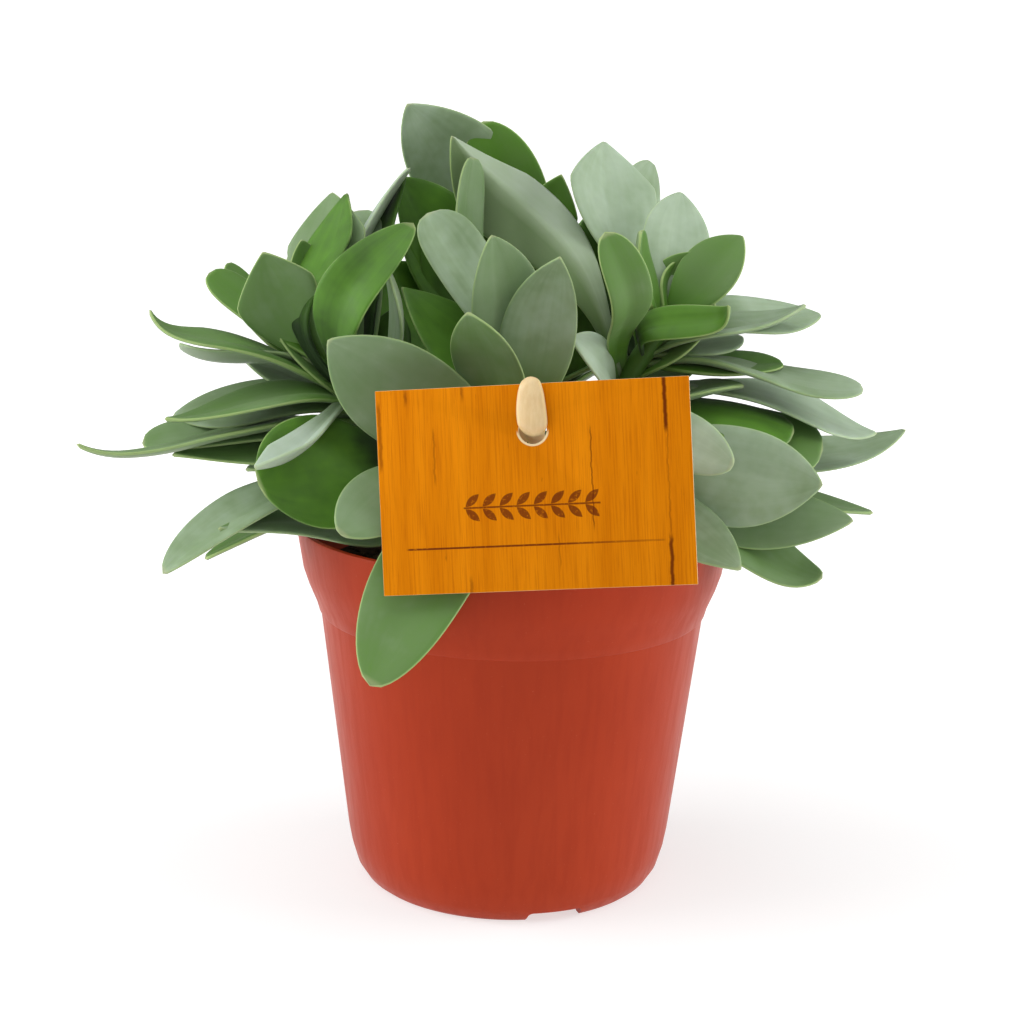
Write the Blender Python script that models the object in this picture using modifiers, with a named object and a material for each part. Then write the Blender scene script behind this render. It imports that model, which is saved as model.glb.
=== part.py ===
# A potted senecio: a plastic grow pot, its soil, four leafy stems, and a card hung on a flat band.
# Sizes are named in millimetres and built in metres, with +Z up and the pot's axis on the Z axis.
import bpy
import bmesh
import math
import random
from mathutils import Matrix, Vector

MM = 0.001

# Pot
POT_HEIGHT = 102.2
RIM_RADIUS = 60.0
RIM_BAND_RADIUS = 58.2
RIM_BAND_BOTTOM = 90.0
SHOULDER_RADIUS = 53.6
SHOULDER_HEIGHT = 77.4
LOWER_RADIUS = 44.6
LOWER_HEIGHT = 10.0
FOOT_RADIUS = 39.2
FOOT_WIDTH = 2.2
FLOOR_BOTTOM = 3.2
WALL = 1.4
POT_STEPS = 40
NOTCH_COUNT = 3
NOTCH_WIDTH = 15.5
NOTCH_HEIGHT = 2.8
NOTCH_DEPTH = 14.0
NOTCH_FIRST_ANGLE = -71.0
DRAIN_COUNT = 8
DRAIN_RADIUS = 3.6
DRAIN_CIRCLE = 28.0

# Gap kept between pieces that touch
GAP = 0.3

# Corners nearer than this after fusing are one corner
WELD = 0.001

# Soil
SOIL_HEIGHT = 90.0
SOIL_DOME = 3.0
SOIL_RADIUS = 55.2
SOIL_LUMP = 0.7
SOIL_STEPS = 28
SOIL_RINGS = 4

# Stems
STEM_BOTTOM = 70.0
STEM_STRAIGHT = 94.0
STEM_RADIUS = 5.0
STEM_TIP_RADIUS = 3.2
STEM_RINGS = 9

# Leaves
LEAF_SIDES = 8
LEAF_RINGS = 6
LEAF_THICKNESS = 2.4
LEAF_THINNING = 0.45
LEAF_STALK_WIDTH = 5.0
LEAF_CROWDING = 1.3
GOLDEN_ANGLE = math.radians(137.5)

# Largest value of share ** 6 * (1 - share), which is the form of a hooked end
HOOK_PEAK = 0.0567

# Leaf forms: where along it a leaf is widest (0 root, 1 tip), how square its shoulders are,
# how sharp its tip is (0.5 round, 1 sharp), and how narrow it is below its widest place
BLUNT = (0.64, 2.4, 0.55, 1.3)
POINTED = (0.60, 2.2, 0.85, 1.3)
SQUARE = (0.72, 4.0, 0.50, 1.3)
SLENDER = (0.50, 1.9, 1.00, 1.3)
KITE = (0.74, 1.2, 0.90, 2.1)
SPOON = (0.72, 2.2, 0.60, 2.2)

# Card
CARD_WIDTH = 78.0
CARD_HEIGHT = 51.0
CARD_THICKNESS = 0.8
CARD_CENTRE = (5.2, -66.0, 126.2)
CARD_YAW = -7.6
CARD_LEAN = -11.8
CARD_ROLL = -5.2
HOLE_RADIUS = 3.5
HOLE_BELOW_TOP = 11.4

# Band
BAND_WIDTH = 5.0
BAND_FRONT_WIDTH = 8.0
BAND_THICKNESS = 0.9
BAND_STEPS = 40
BAND_SIDES = 6
BAND_LOOK_AHEAD = 0.002
BAND_ON_STEM = 0.35

# The side that the plant is mostly seen from. A leaf's turn is measured from it.
FRONT = (0, -600, 240)


def leaf(root, tip, width, turn, bow=0, curl=0, sway=0, fold=10, twist=0, hook=0, form=POINTED):
    # root: how far up the stem it grows. tip: where its point is. bow: how far its middle rises to its
    # upper face. curl: how far it rises near its root and falls near its tip. sway: how far its middle
    # moves sideways. turn: degrees from its upper face seen squarely from the front to the face turned
    # to the aim. twist: how far the turn grows along it. fold: degrees that each half rises by.
    # hook: how far its end bends down. form: its outline.
    return {"root": root, "tip": tip, "width": width, "turn": turn, "bow": bow, "curl": curl,
            "sway": sway, "fold": fold, "twist": twist, "hook": hook, "form": form}


# Each stem rises straight from the soil at its foot, then leans to its heart.
# The upper faces of its leaves turn to its aim, a point above the heart.
STEMS = {
    "leafy_stem_left": {"foot": (-17, -10), "heart": (-45, -20, 141), "aim": (-60, -30, 230)},
    "leafy_stem_centre": {"foot": (1, -14), "heart": (5, -24, 136), "aim": (-4, -20, 230)},
    "leafy_stem_right": {"foot": (17, -2), "heart": (39, -8, 158), "aim": (70, -20, 230)},
    "leafy_stem_back": {"foot": (-2, 16), "heart": (6, 28, 152), "aim": (0, 30, 240)},
}

LEAVES = {
    "leafy_stem_left": [
        leaf(1.00, (-65.5, -32, 179), 23, -15, bow=-5, sway=-4, fold=11, form=KITE),
        leaf(0.95, (-27, -31, 187), 17, 34, bow=15, curl=-2, sway=2, fold=17, twist=-15, form=BLUNT),
        leaf(1.00, (-46, -4.5, 192), 19, 52, bow=11.5, curl=4.5, fold=14, twist=-10, form=KITE),
        leaf(0.97, (-50.5, 2.5, 191.5), 24, 26, bow=6, form=KITE),
        leaf(0.96, (-59, 6.5, 181.5), 16, 28, bow=3, sway=-6, form=SLENDER),
        leaf(0.95, (-82, -13, 171), 13, 45, bow=3, curl=1.5, fold=5, form=SQUARE),
        leaf(0.93, (-79, 1, 172), 12, 46, bow=1, sway=-5, form=SPOON),
        leaf(0.94, (-95.5, -28, 163), 18, 78, bow=1.5, fold=7, twist=-5, hook=4, form=KITE),
        leaf(0.92, (-90, -14, 151.5), 20, 90, bow=3, curl=2, sway=1.5, fold=11, hook=1.5, form=SQUARE),
        leaf(0.865, (-73.5, -4.5, 146), 18, 57, form=SLENDER),
        leaf(0.88, (-91, -34.5, 135.5), 20, 73, bow=4, curl=1.5, fold=11, twist=8, hook=1, form=SLENDER),
        leaf(0.83, (-92, -14, 132.5), 19, 50, bow=5, curl=1.5, twist=-12),
        leaf(0.76, (-99, -22.5, 126.5), 15, 57, bow=2, form=SQUARE),
        leaf(0.81, (-113, -40, 129.5), 15, 85, bow=-2, curl=1.5, sway=2, fold=9, hook=2.5, form=SLENDER),
        leaf(0.70, (-90, -30, 125), 20, 55, bow=-1, curl=-1, form=SLENDER),
        leaf(0.98, (-65, -58, 128), 12, 52, curl=1, sway=-3, fold=36, twist=26, form=KITE),
        leaf(0.62, (-65, -50, 122), 32, 18, bow=3.5, sway=-1.5, fold=5, form=BLUNT),
        leaf(0.50, (-90, -48, 97.5), 18, 56, bow=7, sway=1.5, fold=20, form=SPOON),
        leaf(0.44, (-82, -28, 96.5), 14, 77, bow=5.5, curl=1, sway=-1, form=BLUNT),
        leaf(0.36, (-76, -45, 109), 23, 64, bow=-5, curl=-4, fold=4, hook=1, form=SLENDER),
        leaf(0.56, (-43, -65, 113), 18, 10, bow=7, sway=-2, fold=6, form=SPOON),
        leaf(0.93, (-29.5, 2, 198.5), 14, 84, bow=10, curl=2, sway=1, fold=13, form=SPOON),
        leaf(0.89, (-43.5, 5.5, 186.5), 16, 18, bow=4, form=SQUARE),
        leaf(0.90, (-31, 6.5, 196), 15, 60, bow=5),
        leaf(0.85, (-32.5, -8, 162), 15, 30),
        leaf(0.75, (-33.5, -35.5, 176), 12, 77, bow=-1, curl=1.5, sway=-1, fold=12, form=SPOON),
    ],
    "leafy_stem_centre": [
        leaf(0.74, (-47.5, -48, 159), 28, -20, bow=1.5, curl=1, sway=-2.5, fold=5),
        leaf(0.90, (-12.5, -47, 166.5), 19, -34, curl=1, sway=-1.5, twist=-5),
        leaf(0.93, (10.5, -43.5, 180.5), 20, 3, bow=-3.5, curl=3, sway=2.5, form=SLENDER),
        leaf(0.93, (-24, -20, 188.5), 20, 38, curl=1.5, sway=4, fold=10, form=SQUARE),
        leaf(0.95, (-7, -33, 184.5), 22, 28, bow=-3, curl=-1.5),
        leaf(0.84, (-31, -12, 168), 25, 41, bow=3, fold=8, form=SLENDER),
        leaf(0.97, (-13, -2, 202), 14, 60, bow=-4, sway=-5, fold=15, form=SQUARE),
        leaf(0.05, (-35, -72, 76), 26, 26, bow=23, curl=3, sway=4, fold=5, form=BLUNT),
    ],
    "leafy_stem_right": [
        leaf(0.99, (23, 25, 205), 32, 47, bow=1.5, sway=-6, fold=15, form=KITE),
        leaf(0.95, (37, 34, 199), 18, 54, bow=-2, sway=-4, fold=4, form=SPOON),
        leaf(0.98, (44, 12, 192.5), 20, 20, bow=1.5, fold=8),
        leaf(1.00, (60, -5, 182.5), 18, 28, twist=10),
        leaf(0.74, (22, -30, 185.5), 13, 28, bow=5, curl=-5, fold=15, form=SQUARE),
        leaf(0.96, (32, -15, 184.5), 12, 74, bow=-2, curl=1, sway=1, fold=15, form=BLUNT),
        leaf(0.95, (43.5, 0, 175), 9, 56, curl=1.5, fold=12, form=BLUNT),
        leaf(0.89, (55, -25, 166.5), 10, 32, curl=6.5, sway=2, fold=15, twist=10, form=SLENDER),
        leaf(0.86, (78, -3, 164), 19, 68, curl=2, fold=17, twist=15, form=SLENDER),
        leaf(0.92, (84, 10, 159.5), 22, 57, bow=2, curl=1.5, sway=1, twist=5),
        leaf(0.88, (62.5, 8, 153), 18, 61),
        leaf(0.84, (73, 1.5, 147), 17, 68, sway=-1, form=BLUNT),
        leaf(0.82, (94.5, -4.5, 141.5), 21, 78, bow=2, curl=2, fold=6, twist=-32, form=BLUNT),
        leaf(0.73, (100.5, 5.5, 127.5), 26, 71, bow=6, sway=-1, fold=7, twist=-15, hook=2.5, form=KITE),
        leaf(0.72, (112, 25, 125), 25, 68, bow=-9.5, sway=-4, fold=7, twist=11, hook=1),
        leaf(0.65, (83.5, -10.5, 126), 25, 50, bow=3, sway=-2, fold=-4, form=SQUARE),
        leaf(0.69, (75, -14, 131), 21, 62, bow=4, sway=-2, fold=-8, form=SQUARE),
        leaf(0.58, (55, -54, 130), 15, 6, bow=3.5, sway=2, fold=5, twist=-5, form=BLUNT),
        leaf(0.51, (80, -38, 122), 27, 0, bow=-1, curl=1, sway=-3, fold=4, twist=-6),
        leaf(0.46, (90.5, -25, 109.5), 24, 38, bow=1, curl=1, sway=-7.5, fold=8),
        leaf(0.43, (99.5, -2, 106.5), 20, 74, bow=1, curl=1, sway=-1),
        leaf(0.34, (58.5, -50, 102), 20, 38, bow=5, sway=-2, fold=8),
        leaf(0.27, (82.5, -28.5, 94.5), 22, 54, bow=10, sway=-4, fold=9, hook=4, form=BLUNT),
        leaf(0.63, (14, -23, 157), 16, 66, bow=4),
        leaf(0.74, (-18.5, -3, 207.5), 28, 189, bow=1, curl=-8, sway=7.5, fold=35, twist=36, form=KITE),
        leaf(0.85, (18.5, 15, 185), 18, 30),
    ],
    "leafy_stem_back": [
        leaf(0.95, (-31, 11, 215), 29, 0, bow=-6, curl=3, sway=6, fold=4, twist=18),
        leaf(0.97, (-10.5, 24, 210), 22, 9, bow=1, sway=2, fold=8, form=BLUNT),
        leaf(0.99, (11.5, 22, 196), 18, 12, curl=1.5, sway=3, fold=7, form=KITE),
        leaf(0.85, (-33.5, 14, 195), 25, 25),
        leaf(0.62, (-41.5, 5, 171), 30, 35),
        leaf(0.72, (-24, 12, 184), 26, 10),
        leaf(0.78, (-32.5, 10, 180), 18, 30),
        leaf(0.62, (24, 20, 164), 20, 0),
    ],
}

# Leaves placed by the golden angle in the sector that the front doesn't show:
# the sector's start and end in degrees from +X, how many, and the lengths from lowest to highest.
HIDDEN_LEAVES = {
    "leafy_stem_left": {"sector": (110, 205), "count": 6, "lengths": (56, 42), "seed": 4},
    "leafy_stem_right": {"sector": (-20, 70), "count": 7, "lengths": (56, 22), "seed": 9},
    "leafy_stem_back": {"sector": (0, 180), "count": 20, "lengths": (63, 46), "seed": 12},
}
HIDDEN_LEAF_WIDTH = (22, 17)
HIDDEN_ROOTS = (0.30, 0.97)
HIDDEN_RISE = (-4, 62)
HIDDEN_BOW = (5, -4)
HIDDEN_FOLD = 12

# How far the hidden leaves stray from their rule, in degrees and millimetres
STRAY_RISE = 5
STRAY_LENGTH = 3
STRAY_TURN = 12


def clearScene():
    for item in list(bpy.data.objects):
        bpy.data.objects.remove(item)


def newMaterial(name, colour, roughness, metallic=0.0):
    material = bpy.data.materials.new(name)
    material.use_nodes = True
    shader = material.node_tree.nodes["Principled BSDF"]
    shader.inputs["Base Color"].default_value = (*colour, 1.0)
    shader.inputs["Roughness"].default_value = roughness
    shader.inputs["Metallic"].default_value = metallic
    return material


def newCollection(name, hidden=False):
    collection = bpy.data.collections.new(name)
    bpy.context.scene.collection.children.link(collection)
    collection.hide_render = hidden
    return collection


def moveTo(collection, item, name):
    item.name = name
    item.data.name = name
    for holder in list(item.users_collection):
        holder.objects.unlink(item)
    collection.objects.link(item)
    return item


def addObject(name, mesh, collection, material=None):
    item = bpy.data.objects.new(name, mesh)
    collection.objects.link(item)
    if material:
        mesh.materials.append(material)
    return item


def applyModifiers(item):
    graph = bpy.context.evaluated_depsgraph_get()
    mesh = bpy.data.meshes.new_from_object(item.evaluated_get(graph))
    old = item.data
    item.modifiers.clear()
    item.data = mesh
    bpy.data.meshes.remove(old)


def turned(name, profile, steps, collection, material=None):
    # Spins a profile, given down its outer side, about Z.
    bm = bmesh.new()
    points = [bm.verts.new((radius * MM, 0, height * MM)) for radius, height in profile]
    for first, second in zip(points, points[1:]):
        bm.edges.new((first, second))
    mesh = bpy.data.meshes.new(name)
    bm.to_mesh(mesh)
    bm.free()
    item = addObject(name, mesh, collection, material)
    screw = item.modifiers.new("spin", "SCREW")
    screw.axis = "Z"
    screw.steps = steps
    screw.render_steps = steps
    screw.use_merge_vertices = True
    screw.merge_threshold = 0.00001
    screw.use_normal_calculate = True
    applyModifiers(item)
    return item


def cutWith(item, cutter):
    boolean = item.modifiers.new("cut", "BOOLEAN")
    boolean.operation = "DIFFERENCE"
    boolean.solver = "EXACT"
    boolean.object = cutter
    cutter.hide_render = True
    cutter.display_type = "WIRE"


def cylinder(name, radius, bottom, top, place, collection, sides=20):
    mesh = bpy.data.meshes.new(name)
    bm = bmesh.new()
    bmesh.ops.create_cone(bm, cap_ends=True, segments=sides, radius1=radius * MM, radius2=radius * MM,
                          depth=(top - bottom) * MM)
    bm.to_mesh(mesh)
    bm.free()
    item = addObject(name, mesh, collection)
    item.location = (place[0] * MM, place[1] * MM, (top + bottom) / 2 * MM)
    return item


def outerProfile():
    return [
        (RIM_RADIUS - 1.0, POT_HEIGHT),
        (RIM_RADIUS - 0.2, POT_HEIGHT - 0.3),
        (RIM_RADIUS, POT_HEIGHT - 1.2),
        (RIM_BAND_RADIUS, RIM_BAND_BOTTOM),
        (RIM_BAND_RADIUS - 1.4, 85.8),
        (SHOULDER_RADIUS + 1.0, 80.6),
        (SHOULDER_RADIUS + 0.3, SHOULDER_HEIGHT + 0.7),
        (SHOULDER_RADIUS - 0.3, SHOULDER_HEIGHT),
        (LOWER_RADIUS + 0.9, LOWER_HEIGHT + 5.0),
        (LOWER_RADIUS, LOWER_HEIGHT),
        (LOWER_RADIUS - 1.6, 4.6),
        (FOOT_RADIUS + 1.6, 1.2),
        (FOOT_RADIUS, 0.0),
    ]


def innerProfile():
    # From the middle of the floor up to the rim.
    return [
        (0.0, FLOOR_BOTTOM + WALL),
        (LOWER_RADIUS - 4.6, FLOOR_BOTTOM + WALL),
        (LOWER_RADIUS - WALL - 0.6, LOWER_HEIGHT - 1.5),
        (SHOULDER_RADIUS - WALL - 0.3, SHOULDER_HEIGHT),
        (SHOULDER_RADIUS - 0.4, 81.0),
        (RIM_BAND_RADIUS - WALL - 0.2, RIM_BAND_BOTTOM + 0.5),
        (RIM_RADIUS - WALL - 0.3, POT_HEIGHT - 0.6),
    ]


def makePot(collection, cutters):
    material = newMaterial("terracotta_plastic", (0.40, 0.066, 0.030), 0.42)
    underside = [
        (FOOT_RADIUS - FOOT_WIDTH, 0.0),
        (FOOT_RADIUS - FOOT_WIDTH - 0.4, FLOOR_BOTTOM),
        (0.0, FLOOR_BOTTOM),
    ]
    pot = turned("pot", innerProfile() + outerProfile() + underside, POT_STEPS, collection, material)
    for index in range(DRAIN_COUNT):
        angle = math.tau * (index + 0.5) / DRAIN_COUNT
        place = (DRAIN_CIRCLE * math.cos(angle), DRAIN_CIRCLE * math.sin(angle))
        hole = cylinder(f"drain_{index}", DRAIN_RADIUS, -1.0, LOWER_HEIGHT, place, cutters, 12)
        cutWith(pot, hole)
    for index in range(NOTCH_COUNT):
        angle = math.radians(NOTCH_FIRST_ANGLE) + math.tau * index / NOTCH_COUNT
        bpy.ops.mesh.primitive_cube_add(size=1)
        notch = moveTo(cutters, bpy.context.object, f"notch_{index}")
        notch.scale = (NOTCH_DEPTH * MM, NOTCH_WIDTH * MM, 2 * NOTCH_HEIGHT * MM)
        notch.location = (FOOT_RADIUS * math.cos(angle) * MM, FOOT_RADIUS * math.sin(angle) * MM, 0)
        notch.rotation_euler = (0, 0, angle)
        cutWith(pot, notch)
    applyModifiers(pot)
    return pot


def makeSoil(collection, cutters):
    material = newMaterial("potting_soil", (0.030, 0.020, 0.013), 0.95)
    wall = [(radius - GAP, height) for radius, height in innerProfile()]
    edgeHeight = SOIL_HEIGHT - SOIL_DOME
    profile = []
    for ring in range(SOIL_RINGS + 1):
        share = ring / SOIL_RINGS
        profile.append((SOIL_RADIUS * share, SOIL_HEIGHT - SOIL_DOME * share ** 2))
    middle, corner, lower, shoulder, ledge = wall[:5]
    profile += [ledge, shoulder, lower]
    profile += [(corner[0], corner[1] + GAP), (0.0, middle[1] + GAP)]
    soil = turned("soil", profile, SOIL_STEPS, collection, material)
    draw = random.Random(19)
    for vertex in soil.data.vertices:
        onTop = vertex.co.z > (edgeHeight + GAP / 2) * MM
        if onTop:
            vertex.co.z += draw.uniform(-SOIL_LUMP, SOIL_LUMP) * MM
    for name, stem in STEMS.items():
        radius = STEM_RADIUS + GAP
        hole = cylinder(f"{name}_hole", radius, STEM_BOTTOM - GAP, POT_HEIGHT, stem["foot"], cutters)
        cutWith(soil, hole)
    applyModifiers(soil)
    return soil


def stemPoint(stem, share):
    # A point on the stem's middle line, from where it leaves the soil (0) to its heart (1).
    foot = Vector((*stem["foot"], STEM_STRAIGHT))
    heart = Vector(stem["heart"])
    bend = foot + Vector((0, 0, 0.5 * (heart.z - foot.z)))
    return foot * (1 - share) ** 2 + bend * 2 * share * (1 - share) + heart * share ** 2


def makeStem(name, stem, collection):
    curve = bpy.data.curves.new(name, "CURVE")
    curve.dimensions = "3D"
    curve.bevel_depth = STEM_RADIUS * MM
    curve.bevel_resolution = 2
    curve.use_fill_caps = True
    spline = curve.splines.new("POLY")
    spline.points.add(STEM_RINGS)
    places = [Vector((*stem["foot"], STEM_BOTTOM))]
    places += [stemPoint(stem, step / (STEM_RINGS - 1)) for step in range(STEM_RINGS)]
    for index, (point, place) in enumerate(zip(spline.points, places)):
        point.co = (*(place * MM), 1)
        share = max(0, index - 1) / (STEM_RINGS - 1)
        point.radius = 1 + (STEM_TIP_RADIUS / STEM_RADIUS - 1) * share
    item = bpy.data.objects.new(name, curve)
    collection.objects.link(item)
    graph = bpy.context.evaluated_depsgraph_get()
    mesh = bpy.data.meshes.new_from_object(item.evaluated_get(graph))
    bpy.data.objects.remove(item)
    bm = bmesh.new()
    bm.from_mesh(mesh)
    bmesh.ops.remove_doubles(bm, verts=bm.verts, dist=0.00001)
    bmesh.ops.recalc_face_normals(bm, faces=bm.faces)
    bm.to_mesh(mesh)
    bm.free()
    return addObject(name, mesh, collection)


def halfWidth(share, width, form):
    # A leaf widens from its root to its widest place, then narrows to its tip.
    widest, square, point, narrow = form
    if share < widest:
        blade = math.sin(math.pi / 2 * share / widest) ** narrow
    else:
        past = (share - widest) / (1 - widest)
        blade = (1 - min(1, past ** square)) ** point
    stalk = LEAF_STALK_WIDTH * (1 - share)
    return 0.5 * math.hypot(width * blade, stalk)


def leafPoint(root, tip, aim, seen, item, share, side, rise):
    # share runs from root to tip, side from -1 to 1 across, and rise from -1 to 1 through the blade.
    chord = tip - root
    along = chord.normalized()
    middle = (root + tip) / 2
    squarely = seen - middle
    squarely = (squarely - squarely.dot(along) * along).normalized()
    sideways = along.cross(squarely)
    if sideways.dot(aim - middle) < 0:
        sideways = -sideways
    turn = math.radians(item["turn"] + item["twist"] * (share - 0.5))
    upper = squarely * math.cos(turn) + sideways * math.sin(turn)
    across = upper.cross(along)
    arch = 4 * share * (1 - share)
    place = root + chord * share + sideways * (item["sway"] * arch)
    place += upper * (item["bow"] * arch + item["curl"] * math.sin(math.tau * share))
    place -= upper * (item["hook"] * share ** 6 * (1 - share) / HOOK_PEAK)
    fold = math.radians(item["fold"])
    reach = side * halfWidth(share, item["width"], item["form"])
    thick = 0.5 * LEAF_THICKNESS * (1 - LEAF_THINNING * share ** 3)
    return place + across * (reach * math.cos(fold)) + upper * (abs(reach) * math.sin(fold) + rise * thick)


def makeLeaf(name, root, aim, seen, item, collection):
    bm = bmesh.new()
    bmesh.ops.create_uvsphere(bm, u_segments=LEAF_SIDES, v_segments=LEAF_RINGS, radius=1)
    turn = math.pi / LEAF_SIDES
    for vertex in bm.verts:
        share = math.acos(max(-1, min(1, -vertex.co.z))) / math.pi
        share = 1 - (1 - share) ** LEAF_CROWDING
        angle = math.atan2(vertex.co.y, vertex.co.x) + turn
        onPole = min(share, 1 - share) < 0.01
        side = 0 if onPole else math.cos(angle) / math.cos(turn)
        rise = 0 if onPole else math.sin(angle)
        vertex.co = leafPoint(root, Vector(item["tip"]), aim, seen, item, share, side, rise) * MM
    bmesh.ops.recalc_face_normals(bm, faces=bm.faces)
    mesh = bpy.data.meshes.new(name)
    bm.to_mesh(mesh)
    bm.free()
    return addObject(name, mesh, collection)


def between(pair, share):
    return pair[0] + (pair[1] - pair[0]) * share


def hiddenLeaves(name):
    # Takes the turns of a golden-angle spiral that fall inside the sector.
    if name not in HIDDEN_LEAVES:
        return []
    rule = HIDDEN_LEAVES[name]
    draw = random.Random(rule["seed"])
    start, end = (math.radians(angle) for angle in rule["sector"])
    turns = []
    angle = 0.0
    while len(turns) < rule["count"]:
        angle += GOLDEN_ANGLE
        inSector = (angle - start) % math.tau < end - start
        if inSector:
            turns.append(angle)
    leaves = []
    for index, turn in enumerate(turns):
        share = index / (rule["count"] - 1)
        height = between(HIDDEN_ROOTS, share)
        rise = math.radians(between(HIDDEN_RISE, share) + draw.uniform(-STRAY_RISE, STRAY_RISE))
        length = between(rule["lengths"], share) + draw.uniform(-STRAY_LENGTH, STRAY_LENGTH)
        way = Vector((math.cos(turn) * math.cos(rise), math.sin(turn) * math.cos(rise), math.sin(rise)))
        tip = stemPoint(STEMS[name], height) + way * length
        width = between(HIDDEN_LEAF_WIDTH, share)
        bow = between(HIDDEN_BOW, share)
        facing = draw.uniform(-STRAY_TURN, STRAY_TURN)
        leaves.append(leaf(height, tip, width, facing, bow=bow, fold=HIDDEN_FOLD))
    return leaves


def keepLargestBody(item):
    # Drops loose scraps and the walls of hollows sealed by fusing.
    bm = bmesh.new()
    bm.from_mesh(item.data)
    bmesh.ops.remove_doubles(bm, verts=bm.verts, dist=WELD * MM)
    unseen = set(bm.faces)
    bodies = []
    while unseen:
        body = [unseen.pop()]
        for face in body:
            for edge in face.edges:
                for other in edge.link_faces:
                    if other in unseen:
                        unseen.remove(other)
                        body.append(other)
        bodies.append(body)
    bodies.sort(key=len, reverse=True)
    for body in bodies[1:]:
        bmesh.ops.delete(bm, geom=body, context="FACES")
    bm.to_mesh(item.data)
    bm.free()


def makeLeafyStem(name, collection, material):
    stem = STEMS[name]
    repeats = newCollection(f"{name}_leaves", hidden=True)
    plant = makeStem(name, stem, collection)
    plant.data.materials.append(material)
    aim = Vector(stem["aim"])
    for index, item in enumerate(LEAVES[name]):
        root = stemPoint(stem, item["root"])
        makeLeaf(f"{name}_leaf_{index}", root, aim, Vector(FRONT), item, repeats)
    for index, item in enumerate(hiddenLeaves(name)):
        root = stemPoint(stem, item["root"])
        makeLeaf(f"{name}_hidden_{index}", root, aim, aim, item, repeats)
    union = plant.modifiers.new("fuse", "BOOLEAN")
    union.operation = "UNION"
    union.solver = "EXACT"
    union.operand_type = "COLLECTION"
    union.collection = repeats
    applyModifiers(plant)
    keepLargestBody(plant)
    for piece in list(repeats.objects):
        bpy.data.objects.remove(piece)
    bpy.data.collections.remove(repeats)
    return plant


def cardMatrix():
    turn = Matrix.Rotation(math.radians(CARD_YAW), 4, "Z")
    turn = turn @ Matrix.Rotation(math.radians(CARD_LEAN), 4, "X")
    turn = turn @ Matrix.Rotation(math.radians(CARD_ROLL), 4, "Y")
    return Matrix.Translation(Vector(CARD_CENTRE)) @ turn


def makeCard(collection, cutters):
    material = newMaterial("printed_card", (0.62, 0.21, 0.02), 0.55)
    bpy.ops.mesh.primitive_cube_add(size=1)
    card = moveTo(collection, bpy.context.object, "card")
    card.data.materials.append(material)
    card.data.transform(Matrix.Diagonal((CARD_WIDTH * MM, CARD_THICKNESS * MM, CARD_HEIGHT * MM, 1)))
    hole = cylinder("card_hole", HOLE_RADIUS, -5, 5, (0, 0), cutters)
    hole.data.transform(Matrix.Rotation(math.radians(90), 4, "X"))
    hole.data.transform(Matrix.Translation((0, 0, (CARD_HEIGHT / 2 - HOLE_BELOW_TOP) * MM)))
    pose = cardMatrix()
    pose.translation *= MM
    card.matrix_world = pose
    hole.matrix_world = pose
    bpy.context.view_layer.update()
    cutWith(card, hole)
    applyModifiers(card)
    return card


def bandRoute():
    # Each place has the band's middle, the way of its width, and its width.
    pose = cardMatrix()
    turn = pose.to_3x3()
    top = CARD_HEIGHT / 2
    hole = top - HOLE_BELOW_TOP
    acrossCard = turn @ Vector((1, 0, 0))
    onCard = [
        ((0, 4.5, hole - 2.6), BAND_WIDTH),
        ((0, 0.0, hole - 1.2), BAND_WIDTH),
        ((0, -1.7, hole + 0.6), 6.2),
        ((0, -2.0, hole + 5.0), BAND_FRONT_WIDTH),
        ((0, -1.6, top - 1.6), 6.4),
        ((0, -0.3, top + 1.1), BAND_WIDTH),
        ((-0.5, 2.6, top - 0.6), BAND_WIDTH),
    ]
    route = [(pose @ Vector(place), acrossCard, width) for place, width in onCard]
    stem = STEMS["leafy_stem_centre"]
    centre = stemPoint(stem, BAND_ON_STEM)
    reach = STEM_RADIUS + GAP + BAND_THICKNESS
    up = Vector((0, 0, 1))
    for angle, lift in ((205, 2.5), (150, 1.2), (90, 0.0), (30, -1.2), (-25, -2.5)):
        around = math.radians(angle)
        place = centre + Vector((reach * math.cos(around), reach * math.sin(around), lift))
        route.append((place, up, BAND_WIDTH - 1.0))
    return route


def alongRoute(route, share):
    # A closed smooth line through the places (Catmull-Rom), with its width and its way.
    count = len(route)
    place = share * count
    index = int(place) % count
    rest = place - int(place)
    near = [route[(index + step - 1) % count] for step in range(4)]
    weights = (
        -0.5 * rest + rest ** 2 - 0.5 * rest ** 3,
        1 - 2.5 * rest ** 2 + 1.5 * rest ** 3,
        0.5 * rest + 2 * rest ** 2 - 1.5 * rest ** 3,
        -0.5 * rest ** 2 + 0.5 * rest ** 3,
    )
    middle = sum((near[step][0] * weights[step] for step in range(4)), Vector())
    way = sum((near[step][1] * weights[step] for step in range(4)), Vector())
    width = sum(near[step][2] * weights[step] for step in range(4))
    return middle, way.normalized(), width


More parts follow.
